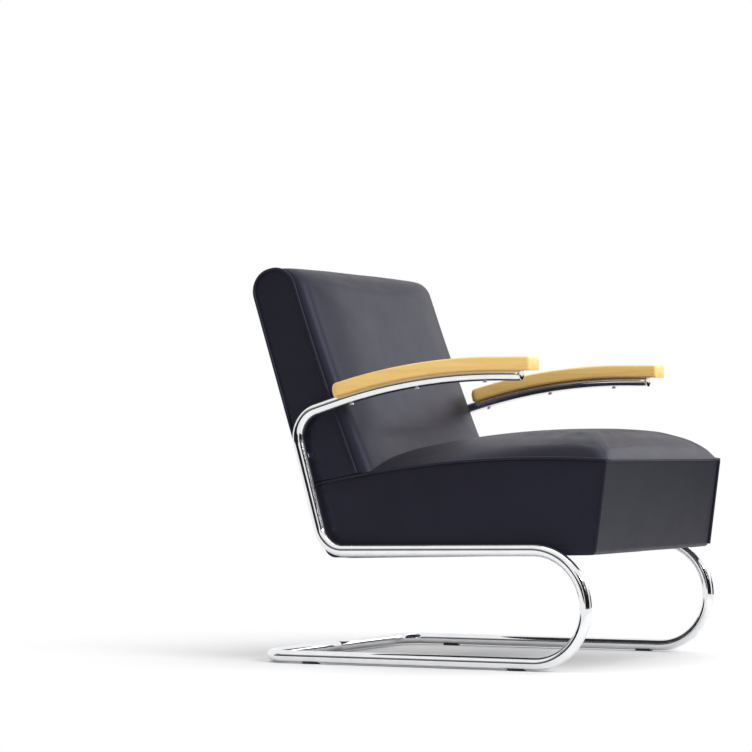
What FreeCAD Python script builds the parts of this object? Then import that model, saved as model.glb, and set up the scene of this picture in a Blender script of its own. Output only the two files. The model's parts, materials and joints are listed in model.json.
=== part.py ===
import FreeCAD, Part
import math
import os

# A cantilever lounge chair: two bent tube sides that meet at the rear of the floor, an upholstered
# seat block and back slab hung between them, and a wooden armrest on each arm tube.
# X is across the chair, the chair faces -Y and Z is up. Sizes are in millimetres, angles in degrees.
# Tubes, rods and their holes have many flats, bends follow short chords and crowns are ruled, so
# that the whole chair stays light.

# Frame tube, lengths and radii on its centre line
TUBE_D = 25.0
TUBE_SIDES = 24
BORE_D = 20.4
BORE_SIDES = 8
FRAME_W = 622.0
BEND_R = 60.0
BEND_CHORD = 12.9
RUNNER_L = 579.0
LOOP_R = 113.3
RAIL_RISE = 0.6
RAIL_L = 436.0
POST_LEAN = 15.2
POST_L = 182.5
ARM_RISE = 16.0
ARM_REAR_L = 46.0
ARM_R = 1300.0
ARM_DROP = 1.5
ARM_CHORD = 3.5
ARM_FRONT_L = 42.0

# Plugs, sleeve and glides of the frame
CAP_T = 2.0
CAP_PLUG_L = 14.0
PLUG_FIT = 0.1
SLEEVE_L = 120.0
SLEEVE_BORE_D = 15.0
GLIDE_T = 2.0
GLIDE_L = 34.0
GLIDE_W = 16.0
GLIDE_TOP_Z = 6.0
GLIDE_FRONT_INSET = 40.0
GLIDE_REAR_INSET = 60.0

# Armrests
WOOD_W = 48.0
WOOD_T = 29.0
WOOD_GROOVE = 6.0
WOOD_FIT = 0.1
WOOD_SETBACK = 13.0
WOOD_OVERHANG = 30.0
WOOD_CORNER_R = 9.0
WOOD_EDGE = 2.5
ARM_SCREW_D = 5.0
ARM_SCREW_FIT = 0.2
ARM_SCREW_HEAD_D = 9.0
ARM_SCREW_HEAD_T = 2.5
ARM_SCREW_L = 18.0
ARM_SCREW_CHORDS = (0, 2, 4)

# Upholstered body: where it hangs between the side tubes
BODY_GAP = 9.5
BODY_BELOW_RAIL = 3.0
BODY_BEHIND_CORNER = 8.5
SEAT_RISE = 1.0
REAR_LEAN = 17.4

# Seat block, seen from the side
SEAT_BOTTOM_L = 616.0
SEAT_FRONT_LEAN = 8.2
SEAT_FRONT_H = 190.0
SEAT_REAR_H = 155.0
SEAM_BOW = 23.0
SEAT_REAR_R = 28.0
SEAT_FRONT_R = 10.0

# Seat crown, by heights over the seam and distances from its front end
CREST_H = 64.0
CREST_AT = 380.0
CROWN_EDGE_H = 58.0
CROWN_EDGE_L = 100.0
CROWN_EDGE_BOW = 15.0
CROWN_REAR_H = 60.0
CROWN_ROOT = 12.0
CROWN_SINK = 1.5
SEAT_FULLNESS = 2.5
SEAT_TO_BACK_GAP = 2.0

# Back slab, seen from the side
BACK_REAR_L = 626.5
BACK_ABOVE_SEAT = 5.0
BACK_BASE_L = 122.0
BACK_TOP_L = 99.0
BACK_TOP_RISE = 11.4
BACK_REAR_R = 36.0
BACK_FRONT_R = 50.0
BACK_HOLLOW = 3.5
BACK_TOP_FILL = 5.0

# Back crown: a steep roll beside each side seam and a slow swell between them
BACK_ROLL_H = 22.0
BACK_ROLL_FULLNESS = 16.0
BACK_CROWN_H = 16.0
BACK_FULLNESS = 2.2
CROWN_STRIPS = 8

# Covers and piping
LEATHER_T = 1.6
SEAM_DROP = 4.0
FLANGE_W = 30.0
WELT_D = 6.0
WELT_SIDES = 8
WELT_FIT = 0.15
WELT_PROUD = 1.2
WELT_CHORD = 18.0
WELT_MIN_CHORDS = 4
WELT_SEAM_CHORDS = 6
DUST_COVER_T = 1.0
DUST_COVER_MARGIN = 24.0

# Wooden frame and filling of the body
PAD_T = 5.0
BOARD_T = 20.0
DECK_DROP = 24.0
UPRIGHT_W = 50.0
SLOT_FIT = 0.3
BACK_RAIL_T = 22.0
BACK_RAIL_H = 60.0
TOP_RAIL_DROP = 40.0
LOW_RAIL_UP = 178.0
BLOCK_LEG = 42.0
BLOCK_UP = 25.0
BLOCK_H = 90.0
STRAP_T = 2.0
STRAP_W = 50.0
SEAT_STRAP_COUNT = 6
SEAT_STRAP_FIRST = 60.0
SEAT_STRAP_PITCH = 92.0
BACK_STRAP_COUNT = 3
BACK_STRAP_FIRST = 300.0
BACK_STRAP_PITCH = 85.0

# Studs that carry the body on the side tubes
STUD_D = 8.0
STUD_FIT = 0.3
STUD_END = 4.0
SPACER_D = 18.0
NUT_FLATS = 13.0
NUT_SIDES = 6
NUT_T = 6.5
RAIL_STUD_AT = (90.0, 340.0)
POST_STUD_AT = 158.0
ROD_SIDES = 12

# How far cutting shapes run past what they cut, and what counts as no length or turn at all
PAST = 90.0
TINY = 0.001


def sin_deg(angle):
    return math.sin(math.radians(angle))


def cos_deg(angle):
    return math.cos(math.radians(angle))


def vec(x, y, z):
    return FreeCAD.Vector(x, y, z)


ACROSS = vec(1, 0, 0)
BACKWARD = vec(0, 1, 0)
FORWARD = vec(0, -1, 0)
UP = vec(0, 0, 1)


def line(start, end):
    return Part.LineSegment(start, end).toShape()


def lines_through(points):
    return [line(start, end) for start, end in zip(points, points[1:])]


class Path:
    """A centre line in a plane, made of straight runs and of bends in short chords.

    The heading is the angle from the first axis towards the second one.
    """

    def __init__(self, origin, first_axis, second_axis):
        self.point = origin
        self.first_axis = first_axis
        self.second_axis = second_axis
        self.heading = 0.0
        self.edges = []

    def run(self, length):
        start = self.point
        axis = self.first_axis * cos_deg(self.heading) + self.second_axis * sin_deg(self.heading)
        self.point = start + axis * length
        self.edges.append(line(start, self.point))

    def bend(self, radius, turn, chord_angle):
        count = math.ceil(abs(turn) / chord_angle)
        step = turn / count
        for _ in range(count):
            self.heading += step / 2.0
            self.run(2.0 * radius * sin_deg(abs(step) / 2.0))
            self.heading += step / 2.0


def sided_wire(centre, axis, flats, sides):
    """A regular outline square to an axis, given by the distance between its flats."""
    out = axis.cross(ACROSS)
    if out.Length < TINY:
        out = axis.cross(UP)
    out.normalize()
    other = axis.cross(out)
    radius = flats / 2.0 / cos_deg(180.0 / sides)
    corners = []
    for index in range(sides + 1):
        angle = 360.0 * (index + 0.5) / sides
        corners.append(centre + out * (radius * cos_deg(angle)) + other * (radius * sin_deg(angle)))
    return Part.makePolygon(corners)


def bar(start, axis, length, flats, sides):
    return Part.Face(sided_wire(start, axis, flats, sides)).extrude(axis * length)


def bent_bar(edges, flats, sides):
    """A bar along a chain of straight edges, mitred where they meet."""
    start, end = [vertex.Point for vertex in edges[0].Vertexes]
    section = sided_wire(start, (end - start).normalize(), flats, sides)
    return Part.Wire(edges).makePipeShell([section], True, False, 1)


def mirrored(shape):
    """The same piece on the other side of the chair."""
    return shape.mirror(vec(0, 0, 0), ACROSS)


def on_side(shape, side):
    """A shape made for the side at +X, or its mirror image."""
    return shape if side > 0 else mirrored(shape)


def both_sides(solids):
    return Part.makeCompound(list(solids) + [mirrored(solid) for solid in solids])


# Layout of the side at +X, with Y = 0 at the centre line of the rear floor bar

LEFT_SIDE = 1
RIGHT_SIDE = -1
SIDE_X = FRAME_W / 2.0
TUBE_R = TUBE_D / 2.0
TUBE_Z = GLIDE_T + TUBE_R


def side_layout():
    """The centre line of a side, and the places along it that carry other pieces."""
    path = Path(vec(SIDE_X, -BEND_R, TUBE_Z), FORWARD, UP)
    place = {"runner_rear": path.point}
    path.run(RUNNER_L)
    place["runner_front"] = path.point
    path.bend(LOOP_R, 180.0 + RAIL_RISE, BEND_CHORD)
    place["rail_front"] = path.point
    path.run(RAIL_L)
    place["rail_rear"] = path.point
    path.bend(BEND_R, POST_LEAN - 90.0 - RAIL_RISE, BEND_CHORD)
    place["post_foot"] = path.point
    path.run(POST_L)
    path.bend(BEND_R, ARM_RISE - 90.0 - POST_LEAN, BEND_CHORD)
    path.run(ARM_REAR_L)
    place["arm_edges"] = len(path.edges)
    path.bend(ARM_R, -ARM_RISE - ARM_DROP, ARM_CHORD)
    place["arm_arc_front"] = path.point
    path.run(ARM_FRONT_L)
    place["arm_front"] = path.point
    return path.edges, place


SIDE_EDGES, PLACE = side_layout()
RAIL_AXIS = vec(0, cos_deg(RAIL_RISE), -sin_deg(RAIL_RISE))
POST_AXIS = vec(0, sin_deg(POST_LEAN), cos_deg(POST_LEAN))
ARM_FRONT_AXIS = vec(0, -cos_deg(ARM_DROP), -sin_deg(ARM_DROP))
ARM_CENTRE = PLACE["arm_arc_front"] - vec(0, -sin_deg(ARM_DROP), cos_deg(ARM_DROP)) * ARM_R


def side_tube(side):
    """Half of the rear floor bar, the rear floor corner and the whole side, in one tube."""
    floor = Path(vec(0, 0, TUBE_Z), ACROSS, FORWARD)
    floor.run(SIDE_X - BEND_R)
    floor.bend(BEND_R, 90.0, BEND_CHORD)
    edges = floor.edges + SIDE_EDGES
    tube = bent_bar(edges, TUBE_D, TUBE_SIDES).cut(bent_bar(edges, BORE_D, BORE_SIDES))
    return on_side(tube.cut(screw_ways(ARM_SCREW_D + 2.0 * ARM_SCREW_FIT)), side)


def floor_bar_sleeve():
    """The sleeve inside the rear floor bar, where the two sides meet."""
    start = vec(-SLEEVE_L / 2.0, 0, TUBE_Z)
    outer = bar(start, ACROSS, SLEEVE_L, BORE_D - 2.0 * PLUG_FIT, BORE_SIDES)
    return outer.cut(bar(start, ACROSS, SLEEVE_L, SLEEVE_BORE_D, BORE_SIDES))


def tube_end_caps():
    end = PLACE["arm_front"]
    disc = bar(end, ARM_FRONT_AXIS, CAP_T, TUBE_D, TUBE_SIDES)
    plug = bar(end, -ARM_FRONT_AXIS, CAP_PLUG_L, BORE_D - 2.0 * PLUG_FIT, BORE_SIDES)
    return both_sides([disc.fuse(plug)])


def floor_glides():
    """A flat glide under each end of each runner, hollowed on top to the tube."""
    front_y = PLACE["runner_front"].y + GLIDE_FRONT_INSET
    rear_y = PLACE["runner_rear"].y - GLIDE_REAR_INSET
    glides = []
    for middle_y in (front_y, rear_y):
        corner = vec(SIDE_X - GLIDE_W / 2.0, middle_y - GLIDE_L / 2.0, 0)
        block = Part.makeBox(GLIDE_W, GLIDE_L, GLIDE_TOP_Z, corner)
        start = vec(SIDE_X, middle_y - GLIDE_L, TUBE_Z)
        glides.append(block.cut(bar(start, BACKWARD, 2.0 * GLIDE_L, TUBE_D, TUBE_SIDES)))
    return both_sides(glides)


# Armrests follow the arm tube at a constant height above its centre line


def above_arm(angle, height):
    """A point over the curved part of the arm, by the slope of the arm there."""
    return ARM_CENTRE + vec(0, sin_deg(angle), cos_deg(angle)) * (ARM_R + height)


def armrest_outline():
    """Side outline of an armrest, square to the tube at both ends, and its rear top corner."""
    low = TUBE_R - WOOD_GROOVE
    high = low + WOOD_T
    rear = ARM_RISE - math.degrees(WOOD_SETBACK / ARM_R)
    front = -ARM_DROP
    middle = (rear + front) / 2.0
    overhang = ARM_FRONT_AXIS * (ARM_FRONT_L + WOOD_OVERHANG)
    low_front = above_arm(front, low) + overhang
    high_front = above_arm(front, high) + overhang
    edges = [
        Part.Arc(above_arm(rear, low), above_arm(middle, low), above_arm(front, low)).toShape(),
        line(above_arm(front, low), low_front),
        line(low_front, high_front),
        line(high_front, above_arm(front, high)),
        Part.Arc(above_arm(front, high), above_arm(middle, high), above_arm(rear, high)).toShape(),
        line(above_arm(rear, high), above_arm(rear, low)),
    ]
    return Part.Face(Part.Wire(edges)), above_arm(rear, high)


def armrest(side):
    face, rear_top = armrest_outline()
    blank = face.translated(ACROSS * (-WOOD_W / 2.0)).extrude(ACROSS * WOOD_W)
    blank = blank.makeFillet(WOOD_CORNER_R, [edge for edge in blank.Edges if runs_across(edge, rear_top)])
    side_edges = [edge for edge in blank.Edges if edge.BoundBox.XLength < WOOD_EDGE]
    blank = blank.makeChamfer(WOOD_EDGE, side_edges)
    groove = bent_bar(SIDE_EDGES[PLACE["arm_edges"]:], TUBE_D + 2.0 * WOOD_FIT, TUBE_SIDES)
    start = PLACE["arm_front"] - ARM_FRONT_AXIS * CAP_T
    cap_room = bar(start, ARM_FRONT_AXIS, 2.0 * CAP_T + WOOD_FIT, TUBE_D + 2.0 * WOOD_FIT, TUBE_SIDES)
    return on_side(blank.cut([groove, cap_room] + screw_ways(ARM_SCREW_D)), side)


def runs_across(edge, point):
    """True for the edge that runs across the chair through a point of the armrest's outline."""
    if edge.BoundBox.XLength < WOOD_EDGE:
        return False
    end = edge.Vertexes[0].Point
    return abs(end.y - point.y) + abs(end.z - point.z) < WOOD_FIT


def screw_spots():
    """Middles of the arm chords that take a screw from below, and the upward normal there."""
    spots = []
    for index in ARM_SCREW_CHORDS:
        start, end = [vertex.Point for vertex in SIDE_EDGES[PLACE["arm_edges"] + index].Vertexes]
        axis = (end - start).normalize()
        spots.append(((start + end) * 0.5, vec(0, axis.z, -axis.y)))
    return spots


def screw_ways(diameter):
    """Bars through both walls of the tube and into the wood, one for each screw."""
    length = TUBE_D + ARM_SCREW_L
    return [bar(spot - up * TUBE_R, up, length, diameter, ROD_SIDES) for spot, up in screw_spots()]


def armrest_screws():
    """Screws through the arm tube, with heads under it."""
    screws = []
    for shank, (spot, up) in zip(screw_ways(ARM_SCREW_D), screw_spots()):
        head = bar(spot - up * TUBE_R, -up, ARM_SCREW_HEAD_T, ARM_SCREW_HEAD_D, ROD_SIDES)
        screws.append(head.fuse(shank))
    return both_sides(screws)


# Side outlines of the body are polygons whose sides can be moved outwards, with rounded corners
# and bowed sides. Side i runs from corner i to the next one, and outwards is to its left.

HALF_W = SIDE_X - TUBE_R - BODY_GAP


def left_of(along):
    return vec(0, -along.z, along.y)


def meet(point_a, axis_a, point_b, axis_b):
    """Where two lines of the side plane cross."""
    cross = axis_a.y * axis_b.z - axis_a.z * axis_b.y
    gap = point_b - point_a
    run = (gap.y * axis_b.z - gap.z * axis_b.y) / cross
    return vec(0, point_a.y + axis_a.y * run, point_a.z + axis_a.z * run)


def shifted(corners, shifts):
    """The polygon with each side moved outwards by its own distance."""
    sides = []
    for index, start in enumerate(corners):
        along = (corners[(index + 1) % len(corners)] - start).normalize()
        sides.append((start + left_of(along) * shifts[index], along))
    return [meet(*sides[index - 1], *sides[index]) for index in range(len(corners))]


def bowed(start, end, bow):
    """A straight edge, or an arc that stands out from it by the bow."""
    if abs(bow) < TINY:
        return line(start, end)
    middle = (start + end) * 0.5 + left_of((end - start).normalize()) * bow
    return Part.Arc(start, middle, end).toShape()


def outline(corners, radii, bows):
    """Edges of a polygon with tangent corner arcs and bowed sides, from its first corner on."""
    count = len(corners)
    entries = []
    exits = []
    tops = []
    for index, corner in enumerate(corners):
        before = (corners[index - 1] - corner).normalize()
        ahead = (corners[(index + 1) % count] - corner).normalize()
        half = before.getAngle(ahead) / 2.0
        reach = radii[index] / math.tan(half)
        entries.append(corner + before * reach)
        exits.append(corner + ahead * reach)
        tops.append(corner + (before + ahead).normalize() * (radii[index] / math.sin(half) - radii[index]))
    edges = []
    for index in range(count):
        if radii[index] > 0:
            edges.append(Part.Arc(entries[index], tops[index], exits[index]).toShape())
        edges.append(bowed(exits[index], entries[(index + 1) % count], bows[index]))
    return edges


def prism(wire, half_width):
    """A wire of the side plane made solid across the chair."""
    face = Part.Face(wire).translated(ACROSS * -half_width)
    return face.extrude(ACROSS * (2.0 * half_width))


def rounded(radii, inset):
    """Corner radii of an outline that lies inside another one by the inset."""
    return [max(radius - inset, 0.0) for radius in radii]


# The body is placed from the lower rear corner of the side, where the lines of rail and post cross

CORNER = meet(PLACE["rail_rear"], RAIL_AXIS, PLACE["post_foot"], POST_AXIS)
BODY_CORNER = vec(0, CORNER.y + BODY_BEHIND_CORNER, CORNER.z - TUBE_R - BODY_BELOW_RAIL)
REAR_AXIS = vec(0, sin_deg(REAR_LEAN), cos_deg(REAR_LEAN))
REAR_INWARD = left_of(REAR_AXIS)
BOTTOM_AXIS = vec(0, -cos_deg(SEAT_RISE), sin_deg(SEAT_RISE))
FRONT_AXIS = vec(0, -sin_deg(SEAT_FRONT_LEAN), cos_deg(SEAT_FRONT_LEAN))

# Seat block: its sides are the front, the chord of the seam, the rear and the bottom
SEAT_FRONT_BOTTOM = BODY_CORNER + BOTTOM_AXIS * SEAT_BOTTOM_L
SEAT_FRONT_TOP = SEAT_FRONT_BOTTOM + FRONT_AXIS * SEAT_FRONT_H
SEAT_REAR_TOP = BODY_CORNER + REAR_AXIS * SEAT_REAR_H
SEAT_CORNERS = (SEAT_FRONT_BOTTOM, SEAT_FRONT_TOP, SEAT_REAR_TOP, BODY_CORNER)
SEAT_RADII = (SEAT_FRONT_R, 0.0, 0.0, SEAT_REAR_R)
STRAIGHT = (0.0, 0.0, 0.0, 0.0)
SEAM_L = (SEAT_REAR_TOP - SEAT_FRONT_TOP).Length
SEAM_AXIS = (SEAT_REAR_TOP - SEAT_FRONT_TOP).normalize()
SEAM_R = (SEAM_L**2 / 4.0 + SEAM_BOW**2) / (2.0 * SEAM_BOW)
SEAM_CENTRE = (SEAT_FRONT_TOP + SEAT_REAR_TOP) * 0.5 - left_of(SEAM_AXIS) * (SEAM_R - SEAM_BOW)


def over_seam(run, height):
    """A point at a height over the bowed seam, by its distance from the front along the chord."""
    aside = run - SEAM_L / 2.0
    rise = math.sqrt(SEAM_R**2 - aside**2) + height
    return SEAM_CENTRE + SEAM_AXIS * aside + left_of(SEAM_AXIS) * rise


def below_seam(drop):
    """Everything below a surface parallel to the seam: a drum about the seam's centre."""
    half_width = HALF_W + PAST
    start = SEAM_CENTRE - ACROSS * half_width
    return Part.makeCylinder(SEAM_R - drop, 2.0 * half_width, start, ACROSS)


def seat_prism(front, chord, rear, bottom, half_width):
    """The straight-sided seat block with its four sides moved outwards by the given distances."""
    corners = shifted(SEAT_CORNERS, (front, chord, rear, bottom))
    inset = -min(front, rear, bottom, 0.0)
    return prism(Part.Wire(outline(corners, rounded(SEAT_RADII, inset), STRAIGHT)), half_width)


def seat_block(inset, drop):
    """The seat below its bowed seam, or the room inside it at an inset."""
    return seat_prism(-inset, PAST, -inset, -inset, HALF_W - inset).common(below_seam(drop))


# Back slab: its sides are the front, the top, the rear and the base
BACK_FRONT_BOTTOM = over_seam(SEAM_L - BACK_BASE_L, BACK_ABOVE_SEAT)
BACK_REAR_BOTTOM = SEAT_REAR_TOP + REAR_AXIS * BACK_ABOVE_SEAT
BACK_REAR_TOP = BODY_CORNER + REAR_AXIS * BACK_REAR_L
BACK_FRONT_TOP = BACK_REAR_TOP + vec(0, -cos_deg(BACK_TOP_RISE), sin_deg(BACK_TOP_RISE)) * BACK_TOP_L
BACK_CORNERS = (BACK_FRONT_BOTTOM, BACK_FRONT_TOP, BACK_REAR_TOP, BACK_REAR_BOTTOM)
BACK_RADII = (0.0, BACK_FRONT_R, BACK_REAR_R, 0.0)
BACK_BOWS = (-BACK_HOLLOW, 0.0, 0.0, 0.0)


def back_edges(bulge):
    """Side outline of the back slab, with its front swollen forwards by the bulge."""
    swollen = (BACK_FRONT_BOTTOM - SEAM_AXIS * bulge, BACK_FRONT_TOP + FORWARD * bulge)
    return outline(swollen + BACK_CORNERS[2:], BACK_RADII, BACK_BOWS)


def back_room(inset, half_width):
    """The room inside the back at an inset from its seams; the filling over its top is thicker."""
    corners = shifted(BACK_CORNERS, (-inset, -inset - BACK_TOP_FILL, -inset, -inset))
    return prism(Part.Wire(outline(corners, rounded(BACK_RADII, inset), BACK_BOWS)), half_width)


def rear_block(low, high, near, far, half_width):
    """A block beside the rear line, by its height up that line and its depth from it."""
    spots = ((low, near), (high, near), (high, far), (low, far), (low, near))
    corners = [BODY_CORNER + REAR_AXIS * up + REAR_INWARD * depth for up, depth in spots]
    return prism(Part.makePolygon(corners), half_width)


def flat_strip(start, along, width, thickness, half_width):
    """A flat strip across the chair, on the left of the direction along its width."""
    end = start + along * width
    rise = left_of(along) * thickness
    return prism(Part.makePolygon([start, end, end + rise, start + rise, start]), half_width)


# Crowns are ruled between side outlines, set closer together towards the side seams


def crown_loft(wire_at, half_width):
    wires = []
    for index in range(-CROWN_STRIPS, CROWN_STRIPS + 1):
        share = sin_deg(90.0 * index / CROWN_STRIPS)
        wires.append(wire_at(share).translated(ACROSS * (share * half_width)))
    return Part.makeLoft(wires, True, True)


def fullness(share, power):
    """How full a cushion is there: 1 in the middle, 0 at its side seams."""
    return 1.0 - abs(share) ** power


def back_bulge(share):
    roll = BACK_ROLL_H * fullness(share, BACK_ROLL_FULLNESS)
    return roll + BACK_CROWN_H * fullness(share, BACK_FULLNESS)


def seat_crown_wire(share):
    """From the front seam over the edge and the crest to the foot of the back."""
    full = fullness(share, SEAT_FULLNESS)
    reach = back_bulge(share) + SEAT_TO_BACK_GAP
    foot = BACK_FRONT_BOTTOM - SEAM_AXIS * reach
    back_axis = (BACK_FRONT_TOP + FORWARD * reach - foot).normalize()
    foot_run = (foot - SEAT_FRONT_TOP).dot(SEAM_AXIS)

    def beside_back(height):
        return meet(foot, back_axis, over_seam(foot_run, height), SEAM_AXIS)

    front = SEAT_FRONT_TOP - FRONT_AXIS * CROWN_SINK + BACKWARD * CROWN_SINK
    front_root = front - FRONT_AXIS * CROWN_ROOT
    edge_end = over_seam(CROWN_EDGE_L, CROWN_EDGE_H * full - CROWN_SINK)
    crest = over_seam(CREST_AT, CREST_H * full - CROWN_SINK)
    rear = beside_back(CROWN_REAR_H * full - CROWN_SINK)
    rear_root = beside_back(-CROWN_ROOT)
    return Part.Wire([
        line(front_root, front),
        bowed(front, edge_end, CROWN_EDGE_BOW * full),
        Part.Arc(edge_end, crest, rear).toShape(),
        line(rear, rear_root),
        line(rear_root, front_root),
    ])


# Piping


def seat_welts(flats):
    """Piping up both front corners, along both side seams and along the front seam."""
    aside = ACROSS * (HALF_W + WELT_PROUD)
    foot = SEAT_FRONT_BOTTOM + FRONT_AXIS * SEAT_FRONT_R + left_of(FRONT_AXIS) * WELT_PROUD + aside
    corner = SEAT_FRONT_TOP + left_of(FRONT_AXIS) * WELT_PROUD + aside
    runs = [SEAM_L * index / WELT_SEAM_CHORDS for index in range(1, WELT_SEAM_CHORDS + 1)]
    points = [foot, corner] + [over_seam(run, 0.0) + aside for run in runs]
    side_welt = bent_bar(lines_through(points), flats, WELT_SIDES)
    front_welt = bar(corner, -ACROSS, 2.0 * corner.x, flats, WELT_SIDES)
    return front_welt.fuse([side_welt, mirrored(side_welt)])


def back_welt(side, flats):
    """Piping round the front, top and rear edges of a side panel of the back."""
    points = []
    for edge in back_edges(0.0)[:-1]:
        count = chord_count(edge)
        span = edge.LastParameter - edge.FirstParameter
        points += [edge.valueAt(edge.FirstParameter + span * index / count) for index in range(count)]
    points.append(BACK_REAR_BOTTOM)
    placed = [point + ACROSS * (HALF_W + WELT_PROUD) for point in points]
    return on_side(bent_bar(lines_through(placed), flats, WELT_SIDES), side)


def chord_count(edge):
    """Chords that follow an edge: one for a straight line, several for an arc."""
    start = edge.tangentAt(edge.FirstParameter)
    end = edge.tangentAt(edge.LastParameter)
    turn = math.degrees(start.getAngle(end))
    return 1 if turn < TINY else max(math.ceil(turn / WELT_CHORD), WELT_MIN_CHORDS)


# Wooden frame: two boards cut to the side outline, joined by rails across the chair

PAD_INSET = LEATHER_T + PAD_T
BOARD_INSET = PAD_INSET + BOARD_T
BOARD_INNER_X = HALF_W - BOARD_INSET
UPRIGHT_FRONT = PAD_INSET + UPRIGHT_W


def side_board_solid(fit):
    """The board at +X: a rail under the seat and an upright in the back, cut as one piece."""
    half_width = BOARD_T / 2.0 + fit
    inset = PAD_INSET - fit
    rail = seat_prism(-inset, fit - DECK_DROP, -inset, fit - LEATHER_T, half_width)
    behind = rear_block(-PAST, BACK_REAR_L + PAST, -PAST, UPRIGHT_FRONT + fit, half_width)
    upright = back_room(inset, half_width).common(behind)
    joint = rear_block(SEAT_REAR_H / 2.0, SEAT_REAR_H + PAST, inset, UPRIGHT_FRONT + fit, half_width)
    board = rail.fuse([upright, joint]).removeSplitter()
    return board.translated(ACROSS * (BOARD_INNER_X + BOARD_T / 2.0))


def side_board(side):
    return on_side(side_board_solid(0.0).cut(stud_ways()), side)


def side_boards_room():
    """Slots for both side boards through covers and filling."""
    return both_sides([side_board_solid(SLOT_FIT)])


def seat_cross_rail(front, rear):
    """A board between the side boards, against the front or the rear of the block."""
    room = seat_prism(-PAD_INSET, -DECK_DROP, -PAD_INSET, -LEATHER_T, BOARD_INNER_X)
    return room.cut(seat_prism(front, PAST, rear, PAST, HALF_W))


def back_cross_rail(low):
    return rear_block(low, low + BACK_RAIL_H, UPRIGHT_FRONT - BACK_RAIL_T, UPRIGHT_FRONT, BOARD_INNER_X)


def corner_block(corner, along, inward):
    """A three-sided block in a corner of the seat frame, upright along the rail beside it."""
    start = corner + along * BLOCK_UP + ACROSS * BOARD_INNER_X
    ends = (start - ACROSS * BLOCK_LEG, start + inward * BLOCK_LEG)
    return Part.Face(Part.makePolygon([start, *ends, start])).extrude(along * BLOCK_H)


def seat_corner_blocks():
    front = SEAT_FRONT_BOTTOM - left_of(FRONT_AXIS) * BOARD_INSET
    rear = BODY_CORNER + REAR_INWARD * BOARD_INSET
    return both_sides([corner_block(front, FRONT_AXIS, BACKWARD), corner_block(rear, REAR_AXIS, FORWARD)])


def straps(first_corner, along, first, pitch, count):
    """Flat straps across the boards, at a pitch along them."""
    starts = [first_corner + along * (first + pitch * index) for index in range(count)]
    half_width = HALF_W - PAD_INSET
    return Part.makeCompound([flat_strip(start, along, STRAP_W, STRAP_T, half_width) for start in starts])


def seat_straps():
    deck = SEAT_FRONT_TOP - left_of(SEAM_AXIS) * DECK_DROP
    return straps(deck, SEAM_AXIS, SEAT_STRAP_FIRST, SEAT_STRAP_PITCH, SEAT_STRAP_COUNT)


def back_straps():
    face = BODY_CORNER + REAR_INWARD * UPRIGHT_FRONT
    return straps(face, REAR_AXIS, BACK_STRAP_FIRST, BACK_STRAP_PITCH, BACK_STRAP_COUNT)


# Filling inside the covers

STRAP_TOP = STRAP_T - DECK_DROP


def seat_foam():
    """Flat foam on the straps, up to the crowned top panel."""
    foam = SEAT_LINING.cut(seat_prism(PAST, STRAP_TOP, PAST, PAST, HALF_W + PAST))
    return foam.cut(side_boards_room())


def seat_padding():
    """Thin padding between the frame and the covers, all round the block."""
    outer = seat_prism(-LEATHER_T, STRAP_TOP, -LEATHER_T, -LEATHER_T, HALF_W - LEATHER_T)
    inner = seat_prism(-PAD_INSET, PAST, -PAD_INSET, PAST, HALF_W - PAD_INSET)
    return outer.cut([inner] + stud_ways())


def behind_foam():
    return rear_block(-PAST, BACK_REAR_L + PAST, -PAST, UPRIGHT_FRONT + STRAP_T, HALF_W)


def back_foam():
    return back_room(LEATHER_T, HALF_W - LEATHER_T).cut(behind_foam())


def back_padding():
    """Thin padding over the sides, rear, top and base of the back frame."""
    outer = back_room(LEATHER_T, HALF_W - LEATHER_T).common(behind_foam())
    inner = back_room(PAD_INSET, HALF_W - PAD_INSET)
    return outer.cut([inner, side_boards_room()] + stud_ways())


# Covers, with the filling of the crowns sewn into them


def seat_top_pad():
    """Crowned top panel with its filling, and the strip of cover that runs on under the back."""
    body = seat_block(0.0, 0.0).fuse(crown_loft(seat_crown_wire, HALF_W - CROWN_SINK))
    pad = body.cut([SEAT_LINING, below_seam(SEAM_DROP)])
    return pad.cut([seat_welts(WELT_D + WELT_FIT), side_boards_room()])


def seat_cover_band():
    """Front, side and rear panels, with a flange turned in under the block."""
    flange = -LEATHER_T - FLANGE_W
    opening = seat_prism(flange, -SEAT_REAR_H / 2.0, flange, PAST, HALF_W + flange)
    band = seat_block(0.0, SEAM_DROP).cut([SEAT_LINING, opening])
    return band.cut([seat_welts(WELT_D + WELT_FIT)] + stud_ways())


def seat_dust_cover():
    """Cloth under the block, over the turned-in flange."""
    start = BODY_CORNER + BOTTOM_AXIS * DUST_COVER_MARGIN
    width = SEAT_BOTTOM_L - 2.0 * DUST_COVER_MARGIN
    return flat_strip(start, BOTTOM_AXIS, width, DUST_COVER_T, HALF_W - DUST_COVER_MARGIN)


def between_back_panels():
    half_width = HALF_W - LEATHER_T
    reach = BACK_REAR_L + PAST
    return Part.makeBox(2.0 * half_width, 2.0 * reach, 2.0 * reach, vec(-half_width, -reach, 0))


def back_cover():
    """One panel over the front, top, rear and base, with the filling of the crown."""
    body = crown_loft(lambda share: Part.Wire(back_edges(back_bulge(share))), HALF_W)
    cover = body.common(between_back_panels()).cut([back_room(LEATHER_T, HALF_W), side_boards_room()])
    return cover.cut([back_welt(side, WELT_D + WELT_FIT) for side in (LEFT_SIDE, RIGHT_SIDE)])


def back_side_panel(side):
    panel = prism(Part.Wire(back_edges(0.0)), LEATHER_T / 2.0)
    placed = panel.translated(ACROSS * (HALF_W - LEATHER_T / 2.0))
    return on_side(placed.cut([back_welt(LEFT_SIDE, WELT_D + WELT_FIT)] + stud_ways()), side)


# Studs, spacers and nuts that hold the body between the tubes

STUD_FOOT_X = SIDE_X - TUBE_R


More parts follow.
